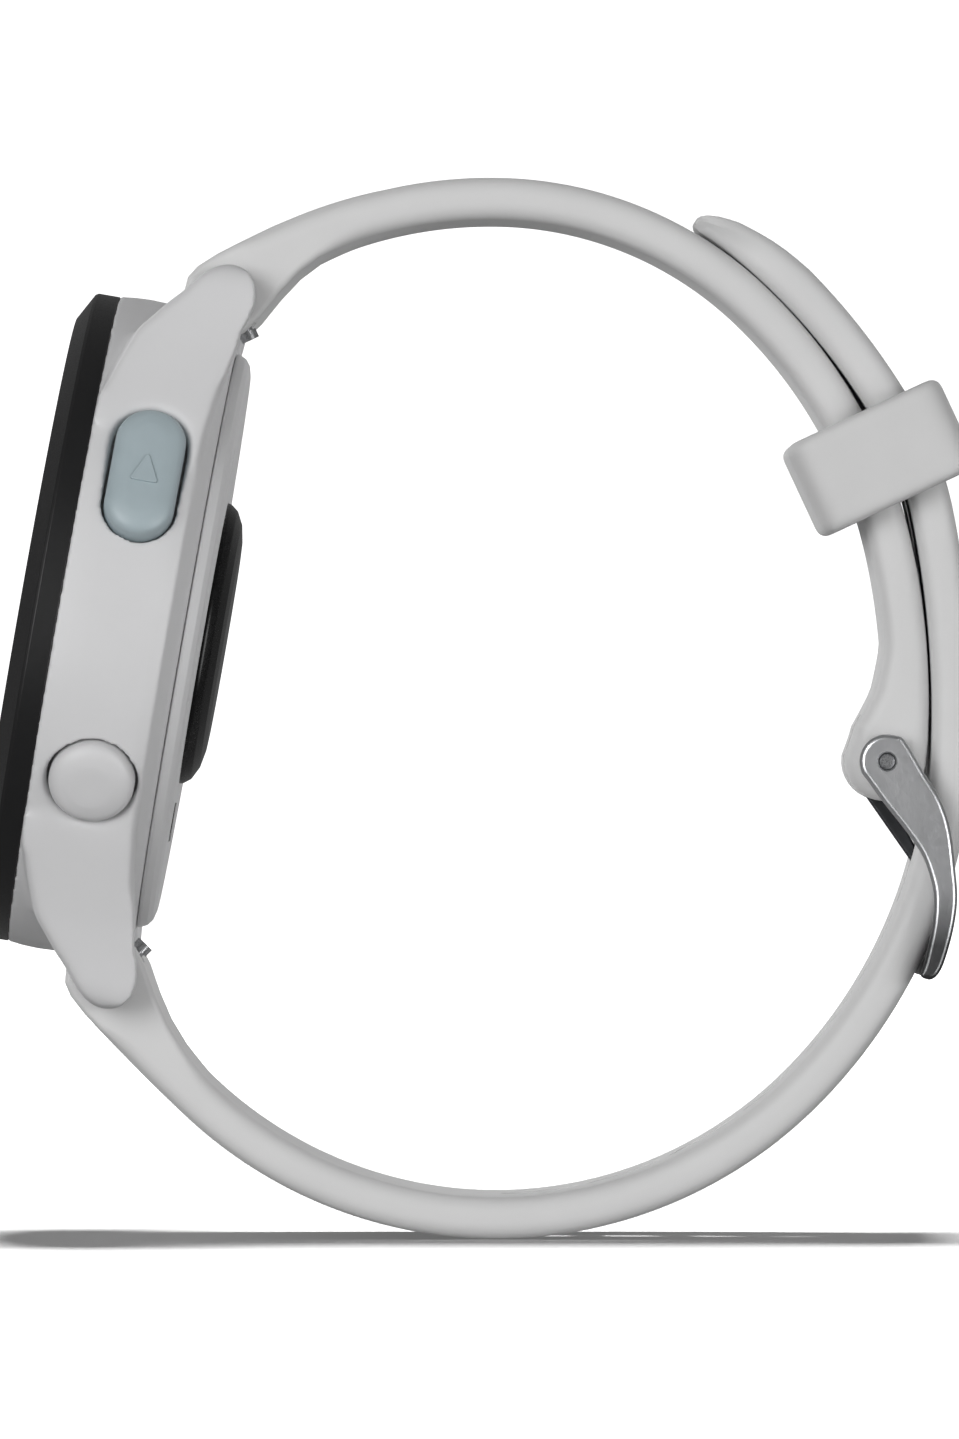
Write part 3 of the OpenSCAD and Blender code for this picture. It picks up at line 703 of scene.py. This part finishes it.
END_SIDE = ([(25.2, 8.52), (24.2, 7.42), (23.4, 6.9), (22.4, 6.82), (22, 7), (21.95, 7.55)]
            + arc(BAR_Y, BAR_W, 2.4, 240, 180, 7)
            + [(20.32, 11), (21.5, 11.9), (23.3, 12.9), (24.9, 13.95)])


def strap_end(side):
    """Strap end round its spring bar, from the wrist side back to the outer face."""
    soft = soften(END_SIDE[1:-1], 0.35, steps=3, closed=False)
    points = [in_case(0, side * y, w) for y, w in [END_SIDE[0]] + soft + [END_SIDE[-1]]]
    return [(p.x, p.z) for p in points[::-1]]


def strap_outline(path, outer, inner, first, last):
    """Outer and inner points of the band at the same lengths along it."""
    lengths = list(np.linspace(first, last - 1.2,
                               round((last - first - 1.2) / STRAP_STEP) + 1))
    lengths += list(np.linspace(last - 1.05, last, 8))
    return lengths, [(beside(path(s), lookup(s, outer)), beside(path(s), lookup(s, inner)))
                     for s in lengths]


def bar_room(side):
    """Room for a spring bar in a strap end, and for its lever on the wrist side."""
    bar = in_case(0, side * BAR_Y, BAR_W)
    lean = math.radians(LEVER_LEAN)
    lever = in_case(0, side * (BAR_Y - math.cos(lean)), BAR_W + math.sin(lean)) - bar
    toward = math.atan2(lever.z, lever.x)

    def place(x, y, out):
        return Vector((bar.x + x * math.cos(toward) - y * math.sin(toward), out,
                       bar.z + x * math.sin(toward) + y * math.cos(toward)))
    slot = soften([(0, -0.75), (4, -0.75), (4, 0.75), (0, 0.75)], 0.2)
    return [cross_hole(BAR_HOLE_R, place),
            prism("slot", slot, 1.6, TINY, SILICONE, place, mid=-5.25, steps=2)]


def cross_hole(radius, place):
    """Cutter for a round hole right across a strap."""
    reach = STRAP_W / 2 + 0.5
    return stack("hole", [(radius, -reach), (radius, reach)], 0, SILICONE, place, segments=40)


def wing(side):
    """Fills the corner between a strap end and the round case."""
    reach = STRAP_W / 2 - 0.2
    r = CASE_R + 0.42       # leaves a fine gap to the case
    start = math.degrees(math.asin(reach / r))
    curve = arc(0, 0, r, 90 - start, 90 + start, 28)
    outline = curve + [(-reach, BAR_Y - 0.1), (reach, BAR_Y - 0.1)]
    return prism("wing", soften(outline, 0.3), 1.2, 0.25, SILICONE,
                 lambda x, y, w: in_case(x, side * y, w), mid=8.1)


def root_edges(edge, back):
    """Smaller edge rounds near the case: the outer face's first points, the last five of
    the inner face up to point back, and the strap end after it."""
    edge[back + 1:] = ROOT_EDGE
    edge[:3] = np.linspace(0.5, EDGE, 3)
    edge[back - 5:back + 1] = np.linspace(EDGE, 0.5, 6)


def finish_strap(strap, side):
    """What both straps have at the case end."""
    carve(strap, wing(side), "UNION")
    for tool in bar_room(side):
        carve(strap, tool)


def make_short_strap():
    """Strap at 12 o'clock, whose end is thick and round about the buckle pin."""
    def path(s):
        return along(SHORT_START, SHORT_ARCS, s)
    _, band = strap_outline(path, SHORT_OUT, SHORT_IN, 8.4, 70.9)
    root = [beside(path(s), lookup(s, SHORT_OUT)) for s in np.arange(4, 8.3, STRAP_STEP)]
    tip = [beside(path(PIN_S), lookup(PIN_S, SHORT_OUT))]
    tip += arc(PIN.x, PIN.z, END_R, -20, -176, 16)
    tip += [beside(path(PIN_S), lookup(PIN_S, SHORT_IN))]
    outline = root + [o for o, _ in band] + tip + [i for _, i in band[::-1]] + strap_end(1)
    first, count = len(root), len(band)
    back = first + 2 * count + len(tip) - 1
    pairs = [(first + k, back - k) for k in range(count)]
    edge = np.full(len(outline), EDGE)
    root_edges(edge, back)
    strap = prism("strap_short_band", outline, STRAP_W / 2, edge, SILICONE,
                  lambda x, z, y: Vector((x, y, z)), pairs=pairs)
    finish_strap(strap, 1)
    carve(strap, cross_hole(PIN_HOLE_R, at_pin))
    carve(strap, stack("tongue_slot", [(3.4, -1.5), (3.4, 1.5)], 0, SILICONE, at_pin,
                       segments=64))
    even_shading(strap)
    keep(strap, "watch", "strap", "strap_short")


def make_long_strap():
    """Strap at 6 o'clock, with its row of holes and a free end with round corners."""
    def path(s):
        return along(LONG_START, LONG_ARCS, s)
    lengths, band = strap_outline(path, LONG_OUT, LONG_IN, 7.5, TAIL_S)
    root = [beside(path(s), lookup(s, LONG_OUT)) for s in np.arange(3, 7.4, STRAP_STEP)]
    outline = root + [o for o, _ in band] + [i for _, i in band[::-1]] + strap_end(-1)
    first, count = len(root), len(band)
    back = first + 2 * count - 1
    pairs = [(first + k, back - k) for k in range(count)]
    half = np.full(len(outline), STRAP_W / 2)
    edge = np.full(len(outline), EDGE)
    for k, s in enumerate(lengths):
        thick = lookup(s, LONG_IN) - lookup(s, LONG_OUT)
        over = max(0, s - (TAIL_S - TAIL_R))
        for i in pairs[k]:
            half[i] = STRAP_W / 2 - TAIL_R + math.sqrt(max(0, TAIL_R ** 2 - over ** 2))
            edge[i] = min(EDGE, 0.4 * thick)
    root_edges(edge, back)
    strap = prism("strap_long_band", outline, half, edge, SILICONE,
                  lambda x, z, y: Vector((x, y, z)), pairs=pairs)
    finish_strap(strap, -1)
    # how much wider a hole is than its middle, at each depth
    flare = [(0.55, -2.1), (0.25, -HALF_T), (0.08, -1.15), (0, -0.95), (0, 0.95),
             (0.08, 1.15), (0.25, HALF_T), (0.55, 2.1)]
    for k in range(-HOLES_EACH_WAY, HOLES_EACH_WAY + 1):
        q = path(TONGUE_S + k * HOLE_PITCH)
        h = math.radians(q[2])

        def place(across, length, depth):
            return Vector((q[0] + length * math.cos(h) - depth * math.sin(h), across,
                           q[1] + length * math.sin(h) + depth * math.cos(h)))
        carve(strap, stack("hole", [(HOLE_W / 2 + f, d) for f, d in flare],
                           (HOLE_L - HOLE_W) / 2, SILICONE, place))
    even_shading(strap)
    keep(strap, "watch", "strap", "strap_long")


# ---- buckle and keeper ----

def make_keeper():
    """Moulded loop: a rounded wall carried round the two straps."""
    deep, wide, high = 11 / 2, 24.5 / 2, 6.45 / 2
    lean = math.radians(25)
    wall = 1.9
    corner = 2.3
    wall_round = 1.05
    outline = soften([(-deep, -wide), (deep, -wide), (deep, wide), (-deep, wide)], corner, 14)
    inner = inward(outline)
    section = soften([(0, -high), (0, high), (wall, high), (wall, -high)], wall_round, 9)
    verts = []
    for inset, z in section:
        for p, n in zip(outline, inner):
            x, y = p[0] + n[0] * inset, p[1] + n[1] * inset
            verts.append((KEEPER.x + x * math.cos(lean) - z * math.sin(lean), y,
                          KEEPER.z + x * math.sin(lean) + z * math.cos(lean)))
    keeper = build("keeper_band", verts, ring_faces(len(section), len(outline), True),
                   SHADED_KEEPER_SILICONE, 40)
    even_shading(keeper)
    keep(keeper, "keeper_loop", "strap", "keeper")


def make_frame():
    """Buckle frame: two bent arms on the pin and a bar across, notched for the tongue."""
    front = [(1.17, 1.32), (2.48, -0.85), (3.46, -2.48), (4.11, -4.44), (4.44, -7.05),
             (4.57, -9), (4.31, -10.96), (3.78, -12.9), (3.4, -13.75), (3, -14.15),
             (2.6, -14.2), (2.2, -13.9)]
    rear = [(2.48, -12.9), (2.94, -10.8), (3.07, -9), (2.87, -7.7), (2.28, -6.07),
            (1.17, -4.44), (-0.13, -2.8)]
    arm = through(arc(0, 0, 1.78, 226, 49, 9) + front[1:] + rear, 6)
    bar = [(3.42, -11.2), (4.27, -11.1), (3.78, -12.9), (3.4, -13.75), (3, -14.15),
           (2.6, -14.2), (2.24, -13.95), (2.62, -12.95), (3.08, -12)]
    notch = [(3.5, -10.6), (4.8, -10.6), (4, -14.4), (2.88, -14.4), (3, -13.4), (3.28, -12)]
    out = (FRAME_W - ARM_T) / 2     # middle of an arm, across the watch
    bevel = 0.34
    body = prism("buckle_frame_body", arm, ARM_T / 2, bevel, GUNMETAL, at_pin, mid=-out)
    carve(body, prism("arm", arm, ARM_T / 2, bevel, GUNMETAL, at_pin, mid=out), "UNION")
    carve(body, prism("bar", soften(bar, 0.3), out, 2 * TINY, GUNMETAL, at_pin, steps=2),
          "UNION")
    carve(body, prism("notch", soften(notch, 0.1), 1.25, 2 * TINY, GUNMETAL, at_pin, steps=2))
    edge = FRAME_W / 2
    hole = [(0.75, -edge - 0.1), (0.56, -edge + 0.12), (0.56, edge - 0.12),
            (0.75, edge + 0.1)]
    carve(body, stack("eye", hole, 0, GUNMETAL, at_pin, segments=40))
    even_shading(body)
    keep(body, "frame", "gunmetal", "buckle_frame")


def make_tongue():
    """Bar from the pin through its strap hole, bent to lie in the frame's notch."""
    side = [(-1.72, -0.75), (-1.84, -1.33), (1.69, -6.39), (3.4, -8.83), (3.92, -9.55),
            (3.78, -10.6), (3.42, -12), (3.14, -13.2), (3.32, -13.28), (3.62, -13.1),
            (4.02, -12), (4.32, -10.6), (4.42, -9.3), (4.22, -8.65), (3.6, -7.8),
            (2.62, -6.45), (1.75, -5), (0.5, -2.2)]
    outline = soften(side + arc(0, 0, 1.75, -55, 200, 18), 0.8, 4)
    tongue = prism("buckle_tongue_bar", outline, 1, 0.16, DARK_METAL, at_pin)
    carve(tongue, stack("eye", [(0.95, -2), (0.95, 2)], 0, DARK_METAL, at_pin, segments=40))
    even_shading(tongue)
    keep(tongue, "tongue", "gunmetal", "buckle_tongue")


def make_pin():
    """Rod with a thinner end in each arm of the frame."""
    edge = FRAME_W / 2
    step = STRAP_W / 2
    half = [(0.38, -edge), (0.5, -edge + 0.12), (0.5, -step - 0.15), (0.78, -step - 0.15),
            (0.9, -step)]
    profile = half + [(r, -y) for r, y in half[::-1]]
    pin = stack("buckle_pin_rod", profile, 0, STEEL, at_pin, segments=48)
    even_shading(pin)
    keep(pin, "watch", "steel", "buckle_pin")


# ---- pieces that keep their CAD form ----

CARRIED = {
    "display_gasket": RUBBER, "display_panel": DISPLAY, "antenna_ring": BRASS,
    "chassis_plate": CHASSIS, "main_board": BOARD, "battery": FOIL, "motor_can": STEEL,
    "motor_rotor": BRASS, "buzzer": BLACK_PLASTIC, "switches": BLACK_PLASTIC,
    "button_seals": RUBBER, "sensor_board": BOARD, "rear_gasket": RUBBER,
    "case_screws": STEEL, "charge_port": BLACK_PLASTIC, "charge_contacts": GOLD,
}


def finish_carried():
    for button in ("run", "back", "light", "up", "down"):
        CARRIED[f"{button}_clip"] = STEEL
        CARRIED[f"{button}_spring"] = STEEL
    for bar in ("top", "low"):
        for part in ("tube", "tip", "lever", "spring"):
            CARRIED[f"{bar}_bar_{part}"] = STEEL
    for node, material in CARRIED.items():
        for slot in NODES[node].material_slots:
            slot.material = material


# ---- surroundings ----

STAGE_R = 2900
STAGE_BEND = 600
GLOW = (0.3, 0.9)       # metres from the watch where the glow starts and is full


def make_stage():
    """Pale floor with a round wall far out, white from every side."""
    floor_z = cad_box[0].z / MM - 0.05
    pale = surface("floor_paper", linear(250, 250, 250), 0.9, vary=0.004, mottle=60,
                   grain=2, bump=0.02, specular=0.0)
    glow(pale, *GLOW)
    profile = soften([(0, floor_z), (STAGE_R, floor_z), (STAGE_R, floor_z + STAGE_R)],
                     STAGE_BEND, 12, closed=False)
    floor = turned("floor", profile, pale, lambda x, y, z: Vector((x, y, z)), closed=False)
    floor.visible_diffuse = False
    floor.visible_glossy = False
    return floor


def glow(material, near, far):
    """Light wall: the paper glows softly far out, and not by the watch."""
    nodes, links = material.node_tree.nodes, material.node_tree.links
    away = nodes.new("ShaderNodeVectorMath")
    away.operation = "LENGTH"
    links.new(nodes["Texture Coordinate"].outputs["Object"], away.inputs[0])
    ramp = nodes.new("ShaderNodeMapRange")
    ramp.inputs["From Min"].default_value = near
    ramp.inputs["From Max"].default_value = far
    links.new(away.outputs["Value"], ramp.inputs["Value"])
    shader = nodes["Principled BSDF"]
    shader.inputs["Emission Color"].default_value = (1, 1, 1, 1)
    links.new(ramp.outputs["Result"], shader.inputs["Emission Strength"])


def make_light(name, place, size, power, target=(0, 0, 0)):
    """Area lamp, in metres and watts."""
    data = bpy.data.lights.new(name, "AREA")
    data.shape = "RECTANGLE"
    data.size, data.size_y = size
    data.energy = power
    lamp = bpy.data.objects.new(name, data)
    bpy.context.scene.collection.objects.link(lamp)
    lamp.location = place
    aim = Vector(target) - Vector(place)
    lamp.rotation_euler = aim.to_track_quat("-Z", "Y").to_euler()
    return lamp


def make_world():
    """Even dim sky, a little dimmer overhead."""
    world = bpy.data.worlds.new("studio")
    world.use_nodes = True
    nodes, links = world.node_tree.nodes, world.node_tree.links
    where = nodes.new("ShaderNodeTexCoord")
    split = nodes.new("ShaderNodeSeparateXYZ")
    links.new(where.outputs["Generated"], split.inputs["Vector"])
    ramp = nodes.new("ShaderNodeMapRange")
    for key, number in (("From Min", -0.5), ("From Max", 0.7), ("To Min", 0.22),
                        ("To Max", 0.2)):
        ramp.inputs[key].default_value = number
    links.new(split.outputs["Z"], ramp.inputs["Value"])
    links.new(ramp.outputs["Result"], nodes["Background"].inputs["Strength"])
    nodes["Background"].inputs["Color"].default_value = (1, 1, 1, 1)
    bpy.context.scene.world = world


def make_lights(floor):
    """Two soft boxes in front, two matt fills behind, and a lamp for the floor alone."""
    behind = [make_light("back_left", (-1.1, 1.0, 0.45), (0.9, 0.9), 14),
              make_light("back_right", (0.6, 1.4, 0.45), (0.9, 0.9), 11)]
    for lamp in behind:
        lamp.visible_glossy = False
    boxes = [make_light("left", (-0.8, -1.3, 0.25), (0.8, 1.2), 17),
             make_light("right", (1.1, -1.1, -0.25), (0.8, 1.2), 20)] + behind
    above = make_light("above_floor", (0, 0.3, 1.5), (0.4, 0.4), 28, (0, 0.02, 0))
    only = bpy.data.collections.new("floor_only")
    only.objects.link(floor)
    above.light_linking.receiver_collection = only
    rest = bpy.data.collections.new("all_but_floor")
    rest.objects.link(floor)
    rest.collection_objects[0].light_linking.link_state = "EXCLUDE"
    for box in boxes:
        box.light_linking.receiver_collection = rest


def make_camera():
    """Long lens square to the 3 o'clock side, 1.2 m away."""
    data = bpy.data.cameras.new("camera")
    data.lens = 456
    data.sensor_width = 36
    data.clip_end = 20
    camera = bpy.data.objects.new("camera", data)
    camera.location = (-4.94 * MM, -1.2, -0.53 * MM)
    camera.rotation_euler = (math.pi / 2, 0, 0)
    bpy.context.scene.collection.objects.link(camera)
    bpy.context.scene.camera = camera


make_lens()
make_bezel()
make_mid_case()
make_rear_cover()
make_sensor_window()
make_buttons()
make_short_strap()
make_long_strap()
make_keeper()
make_frame()
make_tongue()
make_pin()
finish_carried()
make_world()
make_lights(make_stage())
make_camera()
bpy.context.scene.view_settings.view_transform = "Standard"
